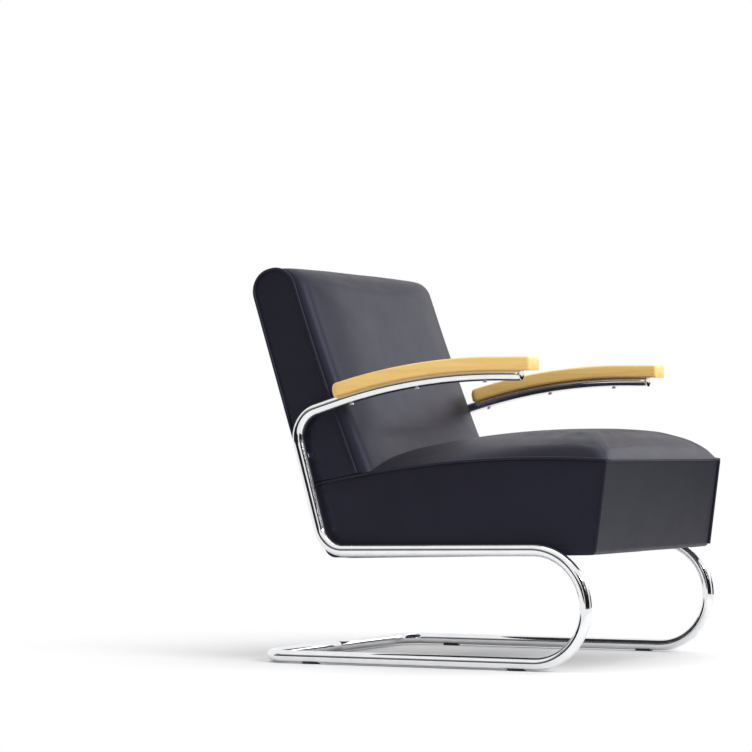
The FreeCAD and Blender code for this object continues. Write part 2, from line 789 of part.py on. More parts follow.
def stud_places(x):
    """Points at a distance from the middle of the chair, one on the axis of each stud."""
    spots = [PLACE["rail_front"] + RAIL_AXIS * run for run in RAIL_STUD_AT]
    spots.append(PLACE["post_foot"] + POST_AXIS * POST_STUD_AT)
    return [vec(x, spot.y, spot.z) for spot in spots]


def stud_rods(x, length, diameter):
    return [bar(place, -ACROSS, length, diameter, ROD_SIDES) for place in stud_places(x)]


def stud_ways():
    """Straight ways for all studs, through everything between the two side tubes."""
    return stud_rods(SIDE_X, FRAME_W, STUD_D + 2.0 * STUD_FIT)


def mounting_studs():
    length = STUD_FOOT_X - BOARD_INNER_X + NUT_T + STUD_END
    return both_sides(stud_rods(STUD_FOOT_X, length, STUD_D))


def spacers():
    """Rings on the studs that keep the body off the tubes."""
    return both_sides([ring.cut(stud_ways()) for ring in stud_rods(STUD_FOOT_X, BODY_GAP, SPACER_D)])


def stud_nuts():
    nuts = [bar(place, -ACROSS, NUT_T, NUT_FLATS, NUT_SIDES) for place in stud_places(BOARD_INNER_X)]
    return both_sides([nut.cut(stud_rods(BOARD_INNER_X, NUT_T, STUD_D)) for nut in nuts])


SEAT_LINING = seat_block(LEATHER_T, LEATHER_T)


def pieces():
    """Every piece by its name, in the order in which the chair is put together."""
    return {
        "left_side_tube": side_tube(LEFT_SIDE),
        "right_side_tube": side_tube(RIGHT_SIDE),
        "floor_bar_sleeve": floor_bar_sleeve(),
        "tube_end_caps": tube_end_caps(),
        "floor_glides": floor_glides(),
        "left_armrest": armrest(LEFT_SIDE),
        "right_armrest": armrest(RIGHT_SIDE),
        "armrest_screws": armrest_screws(),
        "left_side_board": side_board(LEFT_SIDE),
        "right_side_board": side_board(RIGHT_SIDE),
        "seat_front_rail": seat_cross_rail(-BOARD_INSET, PAST),
        "seat_rear_rail": seat_cross_rail(PAST, -BOARD_INSET),
        "seat_corner_blocks": seat_corner_blocks(),
        "back_low_rail": back_cross_rail(LOW_RAIL_UP),
        "back_top_rail": back_cross_rail(BACK_REAR_L - TOP_RAIL_DROP - BACK_RAIL_H),
        "seat_straps": seat_straps(),
        "back_straps": back_straps(),
        "seat_foam": seat_foam(),
        "seat_padding": seat_padding(),
        "back_foam": back_foam(),
        "back_padding": back_padding(),
        "seat_top_pad": seat_top_pad(),
        "seat_cover_band": seat_cover_band(),
        "seat_welts": seat_welts(WELT_D),
        "seat_dust_cover": seat_dust_cover(),
        "back_cover": back_cover(),
        "left_back_panel": back_side_panel(LEFT_SIDE),
        "right_back_panel": back_side_panel(RIGHT_SIDE),
        "left_back_welt": back_welt(LEFT_SIDE, WELT_D),
        "right_back_welt": back_welt(RIGHT_SIDE, WELT_D),
        "mounting_studs": mounting_studs(),
        "spacers": spacers(),
        "stud_nuts": stud_nuts(),
    }


def write(parts):
    """Move the chair so that the middle of its base is the origin, and save each piece."""
    box = Part.makeCompound(list(parts.values())).optimalBoundingBox(False)
    centred = vec(0, -(box.YMin + box.YMax) / 2.0, -box.ZMin)
    os.makedirs("parts", exist_ok=True)
    for name, shape in parts.items():
        shape.translated(centred).exportStep("parts/" + name + ".step")


write(pieces())
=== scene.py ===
import json
import math

import bmesh
import bpy
from mathutils import Matrix, Vector, kdtree, noise


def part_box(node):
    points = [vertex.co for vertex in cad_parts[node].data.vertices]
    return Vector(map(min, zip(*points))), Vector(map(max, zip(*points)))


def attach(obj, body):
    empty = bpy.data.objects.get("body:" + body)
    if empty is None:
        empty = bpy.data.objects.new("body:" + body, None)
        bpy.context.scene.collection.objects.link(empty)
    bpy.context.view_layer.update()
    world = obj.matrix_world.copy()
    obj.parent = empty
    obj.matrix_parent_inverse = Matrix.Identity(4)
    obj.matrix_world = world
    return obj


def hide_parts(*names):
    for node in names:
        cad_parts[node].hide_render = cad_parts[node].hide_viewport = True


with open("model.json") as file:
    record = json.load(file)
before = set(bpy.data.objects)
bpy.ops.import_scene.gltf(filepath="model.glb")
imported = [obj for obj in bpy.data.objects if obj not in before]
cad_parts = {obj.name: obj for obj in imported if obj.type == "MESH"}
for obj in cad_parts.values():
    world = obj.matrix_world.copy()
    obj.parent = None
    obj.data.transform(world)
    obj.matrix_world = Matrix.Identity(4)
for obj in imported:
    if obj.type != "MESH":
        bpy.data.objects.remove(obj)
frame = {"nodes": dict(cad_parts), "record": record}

# A cantilever lounge chair: chromed tube, leather upholstery with piping and wooden armrests.
# Everything is in metres, in the frame of the solids: X across, the chair faces -Y, Z up.

# Tube frame
TUBE_R = 0.0125
SIDE_X = 0.311
TUBE_Z = 0.0145
BEND_R = 0.060
RUNNER_L = 0.579
LOOP_R = 0.1133
RAIL_RISE = 0.6
RAIL_L = 0.436
POST_LEAN = 15.2
POST_L = 0.1825
ARM_RISE = 16.0
ARM_REAR_L = 0.046
ARM_R = 1.3
ARM_DROP = 1.5
ARM_FRONT_L = 0.042
BEND_STEP = 3.0
ARM_STEP = 1.0
TUBE_SIDES = 48
TUBE_RUN_MAX = 0.12
JOINT_GROOVE = 0.0004
BAR_ROUNDING = 0.2
BAR_ROUNDING_STEP = 0.4
BAR_END_R = (0.8, 0.94)
CAP_PROFILE = ((0.0002, 0.93), (0.0003, 0.985), (0.0012, 0.985), (0.0017, 0.94), (0.0020, 0.8), (0.0021, 0.4))

# Armrests
WOOD_W = 0.048
WOOD_T = 0.027
WOOD_GROOVE = 0.004
WOOD_SETBACK = 0.013
WOOD_OVERHANG = 0.030
WOOD_EDGE_R = 0.0042
WOOD_EDGE_STEPS = 6
WOOD_SHARP = 50.0
WOOD_REAR_R = 0.011
WOOD_FRONT_R = 0.005
WOOD_REAR_PINCH = 0.004
WOOD_REAR_RUNS = (0.0, 0.0012, 0.003, 0.006, WOOD_REAR_R)
WOOD_FRONT_RUNS = (0.006, 0.0035, 0.0015, 0.0004, 0.0)
WOOD_RINGS = 60

# Upholstered body
HALF_W = 0.289
BODY_BELOW_RAIL = 0.003
BODY_BEHIND_CORNER = 0.0085
SEAT_RISE = 1.0
REAR_LEAN = 17.4
SEAT_BOTTOM_L = 0.616
SEAT_FRONT_LEAN = 8.2
SEAT_FRONT_H = 0.190
SEAT_REAR_H = 0.155
SEAM_BOW = 0.023
SEAT_RADII = (0.010, 0.0, 0.0, 0.028)
CREST_H = 0.0570
CREST_SHAPE = 0.020
CREST_FALL = 0.004
CREST_FALL_POWER = 4
CREST_STEPS = 80
CREST_CROWDING = 1.8
SIDE_RISE = (0.016, 0.085)
SIDE_RISE_POWER = 1.3
SEAT_DOME = (0.16, 0.32)
PAD_ROOT = 0.012
PAD_ROOT_SHARES = (1.0, 0.66, 0.33, 0.0)
PAD_ROOT_SETBACK = 0.0015
PAD_OVER_SEAM = 0.0004
PAD_UNDER_BACK = 0.004
PAD_SIDE_GAP = 0.0006
BACK_REAR_L = 0.6265
BACK_ABOVE_SEAT = 0.005
BACK_BASE_L = 0.122
BACK_TOP_L = 0.099
BACK_TOP_RISE = 11.4
BACK_RADII = (0.0, 0.050, 0.045, 0.0)
BACK_HOLLOW = 0.0035
BACK_ROLL_LOW = 0.025
BACK_ROLL_HIGH = 0.0175
BACK_ROLL_W = 0.023
BACK_CROWN_H = 0.0175
BACK_FULLNESS = 5.0
EDGE_R = 0.0026
EDGE_STEPS = 5
STATIONS = 34
SIDE_PUFF = 0.0025
PANEL_SHARES = (0.04, 0.15, 0.3, 0.45, 0.6, 0.75, 0.87, 0.95)
PAD_PRESSURE = 4.0
PAD_FRAMES = 20
PAD_CAP = 0.0045
PAD_SEAM_REACH = 0.045
BACK_SEAM_HOLD = 0.004
BACK_DEPTH_HOLD = (0.03, 0.04)
BACK_RISE_HOLD = (0.03, 0.05)
SEAT_SEAM_HOLD = 0.002
SEAT_FREE_ABOVE = 0.004
LEATHER_SHARP = 60.0
LEATHER_WAVE = 0.0005
WAVE_PITCH = 0.11
WELT_R = 0.0031
WELT_PROUD = 0.0008
WELT_SIDES = 20
WELT_RUN_MAX = 0.02
WELT_FOOT = 0.006
WELT_TURN = 0.004
WELT_TURN_SHARES = (0.55, 0.45, 0.4)
WELT_LIFT = 0.0006
SEAM_STEPS = 60
SEAM_SPACING = 0.008
LINE_STEPS = 40
ARC_STEPS = 14
CLOTH_STEPS = 24
CLOTH_SAG = 0.0006
CLOTH_DROP = 0.0008

# Studio
FLOOR_R = 60.0
FLOOR_SIDES = 96
PAPER_FADE = (0.55, 1.3)
STUDIO_WHITE = (1.0, 1.0, 1.0)
BLACK_CLOTH = (0.012, 0.012, 0.014)
GREY_CLOTH = (0.20, 0.20, 0.21)
CARD_STEPS = 24
# Name, tone, distance from the middle, first and last direction in degrees from +X, low and high edge
CARDS = (
    ("low_band", BLACK_CLOTH, 7.0, 106.0, 196.0, 0.1, 1.6),
    ("near_side_card", GREY_CLOTH, 7.0, 112.0, 178.0, 1.5, 4.0),
    ("camera_card", BLACK_CLOTH, 2.4, 208.0, 276.0, 0.0, 1.55),
    ("front_card", BLACK_CLOTH, 2.6, -58.0, -6.0, 0.0, 0.6),
)
# Name, place, point it is turned to, width, height, watts
LIGHTS = (
    ("key", (-1.1, -3.4, 1.9), (0.0, 0.0, 0.5), 1.5, 1.2, 100.0),
    ("side", (3.4, -1.9, 2.1), (0.0, 0.1, 0.5), 2.2, 1.8, 22.0),
    ("top", (0.0, -0.6, 3.2), (0.0, 0.0, 0.4), 2.4, 2.4, 20.0),
)

# Camera, as the photograph was taken
CAMERA_AT = (-5.0958, -2.6297, 0.4152)
CAMERA_YAW = 0.518337
CAMERA_PITCH = 0.0329335
CAMERA_ROLL = -0.0085134
CAMERA_LENS = 127.91
CAMERA_SENSOR = 36.0

ACROSS = Vector((1, 0, 0))
FORWARD = Vector((0, -1, 0))
UP = Vector((0, 0, 1))
NODES = frame["nodes"]
REAR_BAR_Y = sum(corner.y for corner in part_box("floor_bar_sleeve")) / 2.0
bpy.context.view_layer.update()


def tilted(angle, first, second):
    """A direction turned by an angle in degrees from the first axis towards the second."""
    return first * math.cos(math.radians(angle)) + second * math.sin(math.radians(angle))


class Route:
    """A centre line of straight runs and true arcs, with the direction it has now."""

    def __init__(self, start, direction):
        self.points = [start.copy()]
        self.direction = direction.copy()

    def run(self, length):
        self.points.append(self.points[-1] + self.direction * length)
        return self.points[-1]

    def bend(self, radius, angle, normal, step=BEND_STEP):
        count = max(math.ceil(abs(angle) / step), 2)
        start, ahead = self.points[-1], self.direction
        aside = normal.cross(ahead) * math.copysign(1.0, angle)
        for index in range(1, count + 1):
            turn = math.radians(abs(angle)) * index / count
            bow = aside * radius * (1.0 - math.cos(turn))
            self.points.append(start + ahead * radius * math.sin(turn) + bow)
            self.direction = ahead * math.cos(turn) + aside * math.sin(turn)


def side_route():
    """The whole tube at +X from the middle of the rear floor bar, and the places that others use."""
    place = {}
    route = Route(Vector((0, REAR_BAR_Y, TUBE_Z)), ACROSS)
    route.run(SIDE_X - BEND_R)
    route.bend(BEND_R, 90.0, -UP)
    route.run(RUNNER_L)
    route.bend(LOOP_R, 180.0 + RAIL_RISE, -ACROSS)
    place["rail"] = (route.points[-1].copy(), route.direction.copy())
    route.run(RAIL_L)
    route.bend(BEND_R, POST_LEAN - 90.0 - RAIL_RISE, -ACROSS)
    place["post"] = (route.points[-1].copy(), route.direction.copy())
    route.run(POST_L)
    route.bend(BEND_R, ARM_RISE - 90.0 - POST_LEAN, -ACROSS)
    route.run(ARM_REAR_L)
    route.bend(ARM_R, -ARM_RISE - ARM_DROP, -ACROSS, step=ARM_STEP)
    place["arm"] = (route.points[-1].copy(), route.direction.copy())
    place["end"] = (route.run(ARM_FRONT_L).copy(), route.direction.copy())
    return route.points, place


SIDE_POINTS, PLACE = side_route()


# Mesh building


def new_piece(name, bm, material, replaced=(), sharp=40.0):
    mesh = bpy.data.meshes.new(name)
    bmesh.ops.recalc_face_normals(bm, faces=bm.faces)
    bm.to_mesh(mesh)
    bm.free()
    mesh.shade_smooth()
    mesh.set_sharp_from_angle(angle=math.radians(sharp))
    mesh.materials.append(material)
    piece = bpy.data.objects.new(name, mesh)
    bpy.context.scene.collection.objects.link(piece)
    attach(piece, "root")
    if replaced:
        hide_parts(*replaced)
    return piece


def mirrored(points):
    return [Vector((-point.x, point.y, point.z)) for point in points]


def add_loops(bm, loops):
    """Closed loops of equally many points, joined into a skin and closed at both ends."""
    rings = [[bm.verts.new(point) for point in loop] for loop in loops]
    count = len(rings[0])
    for near, far in zip(rings, rings[1:]):
        for index in range(count):
            after = (index + 1) % count
            bm.faces.new((near[index], near[after], far[after], far[index]))
    bm.faces.new(rings[0])
    bm.faces.new(rings[-1])


def rings_along(points, radius_at, sides):
    """Rings square to a line, turned with it so that the skin doesn't twist."""
    tangents = []
    for index in range(len(points)):
        before, after = points[max(index - 1, 0)], points[min(index + 1, len(points) - 1)]
        tangents.append((after - before).normalized())
    out = tangents[0].orthogonal().normalized()
    rings = []
    for index, (point, tangent) in enumerate(zip(points, tangents)):
        out = (out - tangent * out.dot(tangent)).normalized()
        other = tangent.cross(out)
        radius = radius_at(index)
        angles = [math.tau * step / sides for step in range(sides)]
        rings.append([point + (out * math.cos(a) + other * math.sin(a)) * radius for a in angles])
    return rings


def add_bar(bm, points, radius, sides):
    """A round bar along a line, with softly rounded ends."""
    first, last = (points[1] - points[0]).normalized(), (points[-1] - points[-2]).normalized()
    rounding = radius * BAR_ROUNDING
    start, end, step = points[0], points[-1], BAR_ROUNDING_STEP
    line = [start, start + first * rounding * step, start + first * rounding, *points[1:-1]]
    line += [end - last * rounding, end - last * rounding * step, end]
    tip, neck = BAR_END_R
    ends = {0: tip, 1: neck, len(line) - 2: neck, len(line) - 1: tip}
    add_loops(bm, rings_along(line, lambda index: radius * ends.get(index, 1.0), sides))


# Frame


def dense(points, longest):
    """The same line with points added where a straight run is long."""
    line = [points[0]]
    for point in points[1:]:
        count = max(math.ceil((point - line[-1]).length / longest), 1)
        start = line[-1]
        line += [start.lerp(point, index / count) for index in range(1, count + 1)]
    return line


def side_tube(name, points, material):
    bm = bmesh.new()
    start = points[0] + (points[1] - points[0]).normalized() * JOINT_GROOVE
    add_bar(bm, dense([start, *points[1:]], TUBE_RUN_MAX), TUBE_R, TUBE_SIDES)
    new_piece(name, bm, material, (name.replace("chrome", "side"),))


def end_caps(material):
    """Domed discs on the front ends of the arm tubes, with a fine line between disc and tube."""
    bm = bmesh.new()
    end, axis = PLACE["end"]
    line = [end + axis * reach for reach, _ in CAP_PROFILE]
    for points in (line, mirrored(line)):
        add_loops(bm, rings_along(points, lambda index: TUBE_R * CAP_PROFILE[index][1], TUBE_SIDES))
    new_piece("arm_end_caps", bm, material, ("tube_end_caps",))


def rounded_section(half_width, low, high, radius):
    """Section of an armrest as (across, up), with rounded edges."""
    section = []
    for side, level, start in ((1, high, 0.0), (-1, high, 90.0), (-1, low, 180.0), (1, low, 270.0)):
        centre_x = side * (half_width - radius)
        centre_z = level - math.copysign(radius, level - low - radius)
        for step in range(WOOD_EDGE_STEPS + 1):
            angle = math.radians(start + 90.0 * step / WOOD_EDGE_STEPS)
            section.append((centre_x + radius * math.cos(angle), centre_z + radius * math.sin(angle)))
    return section


def armrest(name, sign, material):
    """A bent wooden bar over the arm tube, rounded along its edges and at both ends."""
    arc_end, forward = PLACE["arm"]
    up = ACROSS.cross(forward)
    if up.z < 0:
        up = -up
    centre = arc_end - up * ARM_R
    arc_l = math.radians(ARM_RISE + ARM_DROP) * ARM_R
    length = arc_l - WOOD_SETBACK + ARM_FRONT_L + WOOD_OVERHANG

    def at(run):
        """Centre line point and upward normal at a distance from the rear end."""
        along = run + WOOD_SETBACK - arc_l
        if along > 0:
            return arc_end + forward * along, up
        angle = along / ARM_R
        normal = (up * math.cos(angle) + forward * math.sin(angle)).normalized()
        return centre + normal * ARM_R, normal

    low, high = TUBE_R - WOOD_GROOVE, TUBE_R - WOOD_GROOVE + WOOD_T
    middle_l = length - WOOD_REAR_R - WOOD_FRONT_RUNS[0]
    runs = list(WOOD_REAR_RUNS)
    runs += [WOOD_REAR_R + middle_l * index / WOOD_RINGS for index in range(1, WOOD_RINGS + 1)]
    runs += [length - run for run in WOOD_FRONT_RUNS]
    loops = []
    for run in sorted(runs):
        point, normal = at(run)
        rear = max(WOOD_REAR_R - run, 0.0)
        front = max(WOOD_FRONT_R - (length - run), 0.0)
        drop = WOOD_REAR_R - math.sqrt(max(WOOD_REAR_R**2 - rear**2, 0.0))
        pinch = WOOD_FRONT_R - math.sqrt(max(WOOD_FRONT_R**2 - front**2, 0.0))
        side = min(drop, WOOD_REAR_PINCH) + pinch
        section = rounded_section(WOOD_W / 2.0 - side, low, high - drop - pinch, WOOD_EDGE_R)
        loops.append([
            Vector((sign * SIDE_X + across, 0, 0)) + Vector((0, point.y, point.z)) + normal * rise
            for across, rise in section
        ])
    bm = bmesh.new()
    add_loops(bm, loops)
    new_piece(name, bm, material, (name.replace("wood", "armrest"),), WOOD_SHARP)


# Upholstered body, seen from the side: polygons with rounded corners and bowed sides


def left_of(along):
    """A quarter turn to the left in the side view, which is outwards on the outlines below."""
    return Vector((0, -along.z, along.y))


def meet(point_a, axis_a, point_b, axis_b):
    """Where two lines cross in the side view."""
    cross = axis_a.y * axis_b.z - axis_a.z * axis_b.y
    gap = point_b - point_a
    run = (gap.y * axis_b.z - gap.z * axis_b.y) / cross
    return Vector((0, point_a.y + axis_a.y * run, point_a.z + axis_a.z * run))


def shifted(corners, inset):
    """Corners of the polygon whose sides all lie further in."""
    sides = []
    for index, start in enumerate(corners):
        along = (corners[(index + 1) % len(corners)] - start).normalized()
        sides.append((start - left_of(along) * inset, along))
    return [meet(*sides[index - 1], *sides[index]) for index in range(len(corners))]


def bowed(start, end, bow, steps):
    """Points from start up to but without end, standing out from the straight line by the bow."""
    out = left_of((end - start).normalized())
    shares = [index / steps for index in range(steps)]
    return [start.lerp(end, share) + out * (4.0 * bow * share * (1.0 - share)) for share in shares]


def side_outline(corners, radii, bows):
    """Points round a polygon, with tangent corner arcs."""
    count = len(corners)
    rounds = []
    for index, corner in enumerate(corners):
        before = (corners[index - 1] - corner).normalized()
        ahead = (corners[(index + 1) % count] - corner).normalized()
        half = before.angle(ahead) / 2.0
        reach = radii[index] / math.tan(half)
        if radii[index] <= 0:
            rounds.append([corner])
            continue
        entry, leave = corner + before * reach, corner + ahead * reach
        centre = corner + (before + ahead).normalized() * (radii[index] / math.sin(half))
        first, last = entry - centre, leave - centre
        swing = first.angle(last)
        arc = []
        for step in range(ARC_STEPS + 1):
            share = step / ARC_STEPS
            weight_a = math.sin((1.0 - share) * swing) / math.sin(swing)
            weight_b = math.sin(share * swing) / math.sin(swing)
            arc.append(centre + first * weight_a + last * weight_b)
        rounds.append(arc)
    points = []
    for index in range(count):
        points += rounds[index][:-1]
        points += bowed(rounds[index][-1], rounds[(index + 1) % count][0], bows[index], LINE_STEPS)
    return points


RAIL_POINT, RAIL_AXIS = PLACE["rail"]
POST_POINT, POST_AXIS = PLACE["post"]
CORNER = meet(RAIL_POINT, RAIL_AXIS, POST_POINT, POST_AXIS)
BODY_CORNER = CORNER + Vector((0, BODY_BEHIND_CORNER, -TUBE_R - BODY_BELOW_RAIL))
REAR_AXIS = tilted(REAR_LEAN, UP, -FORWARD)
BOTTOM_AXIS = tilted(SEAT_RISE, FORWARD, UP)
FRONT_AXIS = tilted(SEAT_FRONT_LEAN, UP, FORWARD)
SEAT_FRONT_BOTTOM = BODY_CORNER + BOTTOM_AXIS * SEAT_BOTTOM_L
SEAT_FRONT_TOP = SEAT_FRONT_BOTTOM + FRONT_AXIS * SEAT_FRONT_H
SEAT_REAR_TOP = BODY_CORNER + REAR_AXIS * SEAT_REAR_H
SEAT_CORNERS = (SEAT_FRONT_BOTTOM, SEAT_FRONT_TOP, SEAT_REAR_TOP, BODY_CORNER)
SEAM_L = (SEAT_REAR_TOP - SEAT_FRONT_TOP).length
SEAM_AXIS = (SEAT_REAR_TOP - SEAT_FRONT_TOP).normalized()
SEAM_R = (SEAM_L**2 / 4.0 + SEAM_BOW**2) / (2.0 * SEAM_BOW)
SEAM_CENTRE = (SEAT_FRONT_TOP + SEAT_REAR_TOP) * 0.5 - left_of(SEAM_AXIS) * (SEAM_R - SEAM_BOW)


def over_seam(run, height):
    """A point at a run behind the front of the seat's side seam and a height over it."""
    aside = run - SEAM_L / 2.0
    rise = math.sqrt(SEAM_R**2 - aside**2) + height
    return SEAM_CENTRE + SEAM_AXIS * aside + left_of(SEAM_AXIS) * rise


BACK_FRONT_BOTTOM = over_seam(SEAM_L - BACK_BASE_L, BACK_ABOVE_SEAT)
BACK_REAR_BOTTOM = SEAT_REAR_TOP + REAR_AXIS * BACK_ABOVE_SEAT
BACK_REAR_TOP = BODY_CORNER + REAR_AXIS * BACK_REAR_L
BACK_FRONT_TOP = BACK_REAR_TOP + tilted(BACK_TOP_RISE, FORWARD, UP) * BACK_TOP_L


def fullness(share, power):
    """1 in the middle and 0 at the sides, and the flatter between them the higher the power."""
    return 1.0 - min(abs(share), 1.0) ** power


def back_bulge(share, roll=BACK_ROLL_LOW):
    """How far the front of the back stands out: a roll beside each seam and a broad crown."""
    aside = max(1.0 - (1.0 - abs(share)) * HALF_W / BACK_ROLL_W, 0.0)
    return roll * math.sqrt(max(1.0 - aside * aside, 0.0)) + BACK_CROWN_H * fullness(share, BACK_FULLNESS)


def back_outline(share, inset):
    low, high = back_bulge(share), back_bulge(share, BACK_ROLL_HIGH)
    front = (BACK_FRONT_BOTTOM - SEAM_AXIS * low, BACK_FRONT_TOP + FORWARD * high)
    corners = shifted((*front, BACK_REAR_TOP, BACK_REAR_BOTTOM), inset)
    radii = [max(radius - inset, 0.0) for radius in BACK_RADII]
    return side_outline(corners, radii, (-BACK_HOLLOW, 0.0, 0.0, 0.0))


def seat_outline(_share, inset):
    corners = shifted(SEAT_CORNERS, inset)
    radii = [max(radius - inset, 0.0) for radius in SEAT_RADII]
    return side_outline(corners, radii, (0.0, SEAM_BOW, 0.0, 0.0))


def wavy(bm, height):
    """Uneven filling under the leather: slow dents and swellings along the normals."""
    bm.normal_update()
    moves = [vert.normal * (height * noise.noise(vert.co / WAVE_PITCH)) for vert in bm.verts]
    for vert, move in zip(bm.verts, moves):
        vert.co += move


def slab_loops(outline_at):
    """Loops from the middle of one side panel over the rounded edge to the other side panel."""
    loops = []
    edge = outline_at(1.0, EDGE_R)
    middle = sum(edge, Vector()) / len(edge)
    for share in PANEL_SHARES:
        x = HALF_W + SIDE_PUFF * (1.0 - share**3)
        loops.append([middle.lerp(point, share) + ACROSS * x for point in edge])
    for step in range(EDGE_STEPS):
        angle = math.radians(90.0 - 90.0 / EDGE_STEPS * step)
        inset = EDGE_R * (1.0 - math.cos(angle))
        x = HALF_W - EDGE_R + EDGE_R * math.sin(angle)
        loops.append([point + ACROSS * x for point in outline_at(x / HALF_W, inset)])
    for step in range(STATIONS):
        x = (HALF_W - EDGE_R) * math.cos(math.radians(90.0 * step / STATIONS))
        loops.append([point + ACROSS * x for point in outline_at(x / HALF_W, 0.0)])
    return loops + [outline_at(0.0, 0.0)] + [mirrored(loop) for loop in reversed(loops)]


def filled(piece, freedom):
    """Leather held at its seams and pressed out by the filling, by PAD_CAP at most where it is free."""
    mesh = piece.data
    rest = [vert.co.copy() for vert in mesh.vertices]
    shares = [freedom(point) for point in rest]
    held = piece.vertex_groups.new(name="held")
    for index, share in enumerate(shares):
        held.add([index], 1.0 - share, "REPLACE")
    cloth = piece.modifiers.new("filling", "CLOTH")
    cloth.settings.quality = 6
    cloth.settings.mass = 0.4
    cloth.settings.tension_stiffness = 20.0
    cloth.settings.compression_stiffness = 20.0
    cloth.settings.bending_stiffness = 0.6
    cloth.settings.use_pressure = True
    cloth.settings.uniform_pressure_force = PAD_PRESSURE
    cloth.settings.vertex_group_mass = "held"
    cloth.settings.effector_weights.gravity = 0.0
    cloth.point_cache.frame_start = 1
    cloth.point_cache.frame_end = PAD_FRAMES
    for step in range(1, PAD_FRAMES + 1):
        bpy.context.scene.frame_set(step)
    ready = piece.evaluated_get(bpy.context.evaluated_depsgraph_get())
    pressed = [vert.co.copy() for vert in ready.data.vertices]
    piece.modifiers.remove(cloth)
    piece.vertex_groups.remove(held)
    bpy.context.scene.frame_set(1)
    for vert, start, end, share in zip(mesh.vertices, rest, pressed, shares):
        move = end - start
        if move.length > 0.0:
            vert.co = start + move.normalized() * (share * PAD_CAP * math.tanh(move.length / PAD_CAP))


def smooth_share(distance, reach):
    """0 up to no distance, 1 from the reach on, and a soft step between."""
    share = min(max(distance / reach, 0.0), 1.0)
    return share * share * (3.0 - 2.0 * share)


def seam_distance(lines):
    """A function that gives the distance from a point to the nearest seam."""
    points = [point for line in lines for point in dense(line, SEAM_SPACING)]
    tree = kdtree.KDTree(len(points))
    for index, point in enumerate(points):
        tree.insert(point, index)
    tree.balance()
    return lambda point: tree.find(point)[2]


def seat_block(material):
    bm = bmesh.new()
    add_loops(bm, slab_loops(seat_outline))
    wavy(bm, LEATHER_WAVE)
    soft = ("seat_cover_band", "seat_padding")
    piece = new_piece("seat_block", bm, material, soft, LEATHER_SHARP)


def back_cushion(material):
    bm = bmesh.new()
    add_loops(bm, slab_loops(back_outline))
    wavy(bm, LEATHER_WAVE)
    soft = ("back_cover", "back_foam", "back_padding", "left_back_panel", "right_back_panel")
    piece = new_piece("back_cushion", bm, material, soft, LEATHER_SHARP)
    edge = [point + ACROSS * HALF_W for point in back_outline(1.0, 0.0)]
    distance = seam_distance((edge, mirrored(edge)))
    inward, base = -left_of(-REAR_AXIS), BACK_REAR_BOTTOM

    def freedom(point):
        depth = (point - base).dot(inward)
        rise = (point - base).dot(REAR_AXIS)
        off_panel = abs(point.x) < HALF_W - EDGE_R
        share = smooth_share(distance(point) - BACK_SEAM_HOLD, PAD_SEAM_REACH) * off_panel
        for place, (held, fade) in ((depth, BACK_DEPTH_HOLD), (rise, BACK_RISE_HOLD)):
            share *= smooth_share(place - held, fade)
        return share

    filled(piece, freedom)


def crown_height(share, run, reach):
    """Height of the seat over its seam: steep at the front seam and the sides, slack towards the back."""
    along = run / reach
    rise = 1.0 - math.exp(-run / CREST_SHAPE)
    slope = SIDE_RISE[0] + (SIDE_RISE[1] - SIDE_RISE[0]) * along**SIDE_RISE_POWER
    dome = SEAT_DOME[0] + (SEAT_DOME[1] - SEAT_DOME[0]) * along
    side = (1.0 - math.exp(-(1.0 - abs(share)) * HALF_W / slope)) / (1.0 - math.exp(-HALF_W / slope))
    return (CREST_H * rise - CREST_FALL * along**CREST_FALL_POWER) * side * (1.0 - dome * share * share)


def seat_pad(material):
    """The crowned top of the seat, sewn in along its seams and closed underneath."""
    lean = (BACK_FRONT_TOP - BACK_FRONT_BOTTOM).normalized()
    loops = []
    for station in range(-STATIONS, STATIONS + 1):
        share = math.sin(math.radians(90.0 * station / STATIONS))
        foot = BACK_FRONT_BOTTOM - SEAM_AXIS * (back_bulge(share) - PAD_UNDER_BACK)
        reach = (foot - SEAT_FRONT_TOP).dot(SEAM_AXIS)
        top = []
        for step in range(CREST_STEPS + 1):
            run = reach * (step / CREST_STEPS) ** CREST_CROWDING
            top.append(over_seam(run, crown_height(share, run, reach) + PAD_OVER_SEAM))
        top[-1] = meet(foot, lean, top[-1], SEAM_AXIS)
        root = [over_seam(reach * share_back, -PAD_ROOT) for share_back in PAD_ROOT_SHARES]
        root[-1] = SEAT_FRONT_TOP - FRONT_AXIS * PAD_ROOT - FORWARD * PAD_ROOT_SETBACK
        x = share * (HALF_W - PAD_SIDE_GAP)
        loops.append([point + ACROSS * x for point in top + root])
    bm = bmesh.new()
    add_loops(bm, loops)
    soft = ("seat_top_pad", "seat_foam")
    piece = new_piece("seat_pad", bm, material, soft, LEATHER_SHARP)
    side = [
        over_seam(SEAM_L * index / SEAM_STEPS, 0.0) + ACROSS * HALF_W for index in range(SEAM_STEPS + 1)
    ]
    foot = [BACK_FRONT_BOTTOM - SEAM_AXIS * BACK_CROWN_H + ACROSS * x for x in (-HALF_W, HALF_W)]
    distance = seam_distance((side, mirrored(side), [side[0], mirrored(side)[0]], foot))

    def freedom(point):
        above = (point - SEAM_CENTRE).dot(left_of(SEAM_AXIS)) - SEAM_R + SEAM_BOW
        seam_share = smooth_share(distance(point) - SEAT_SEAM_HOLD, PAD_SEAM_REACH)
        return seam_share * smooth_share(above, SEAT_FREE_ABOVE)

    filled(piece, freedom)


# Piping


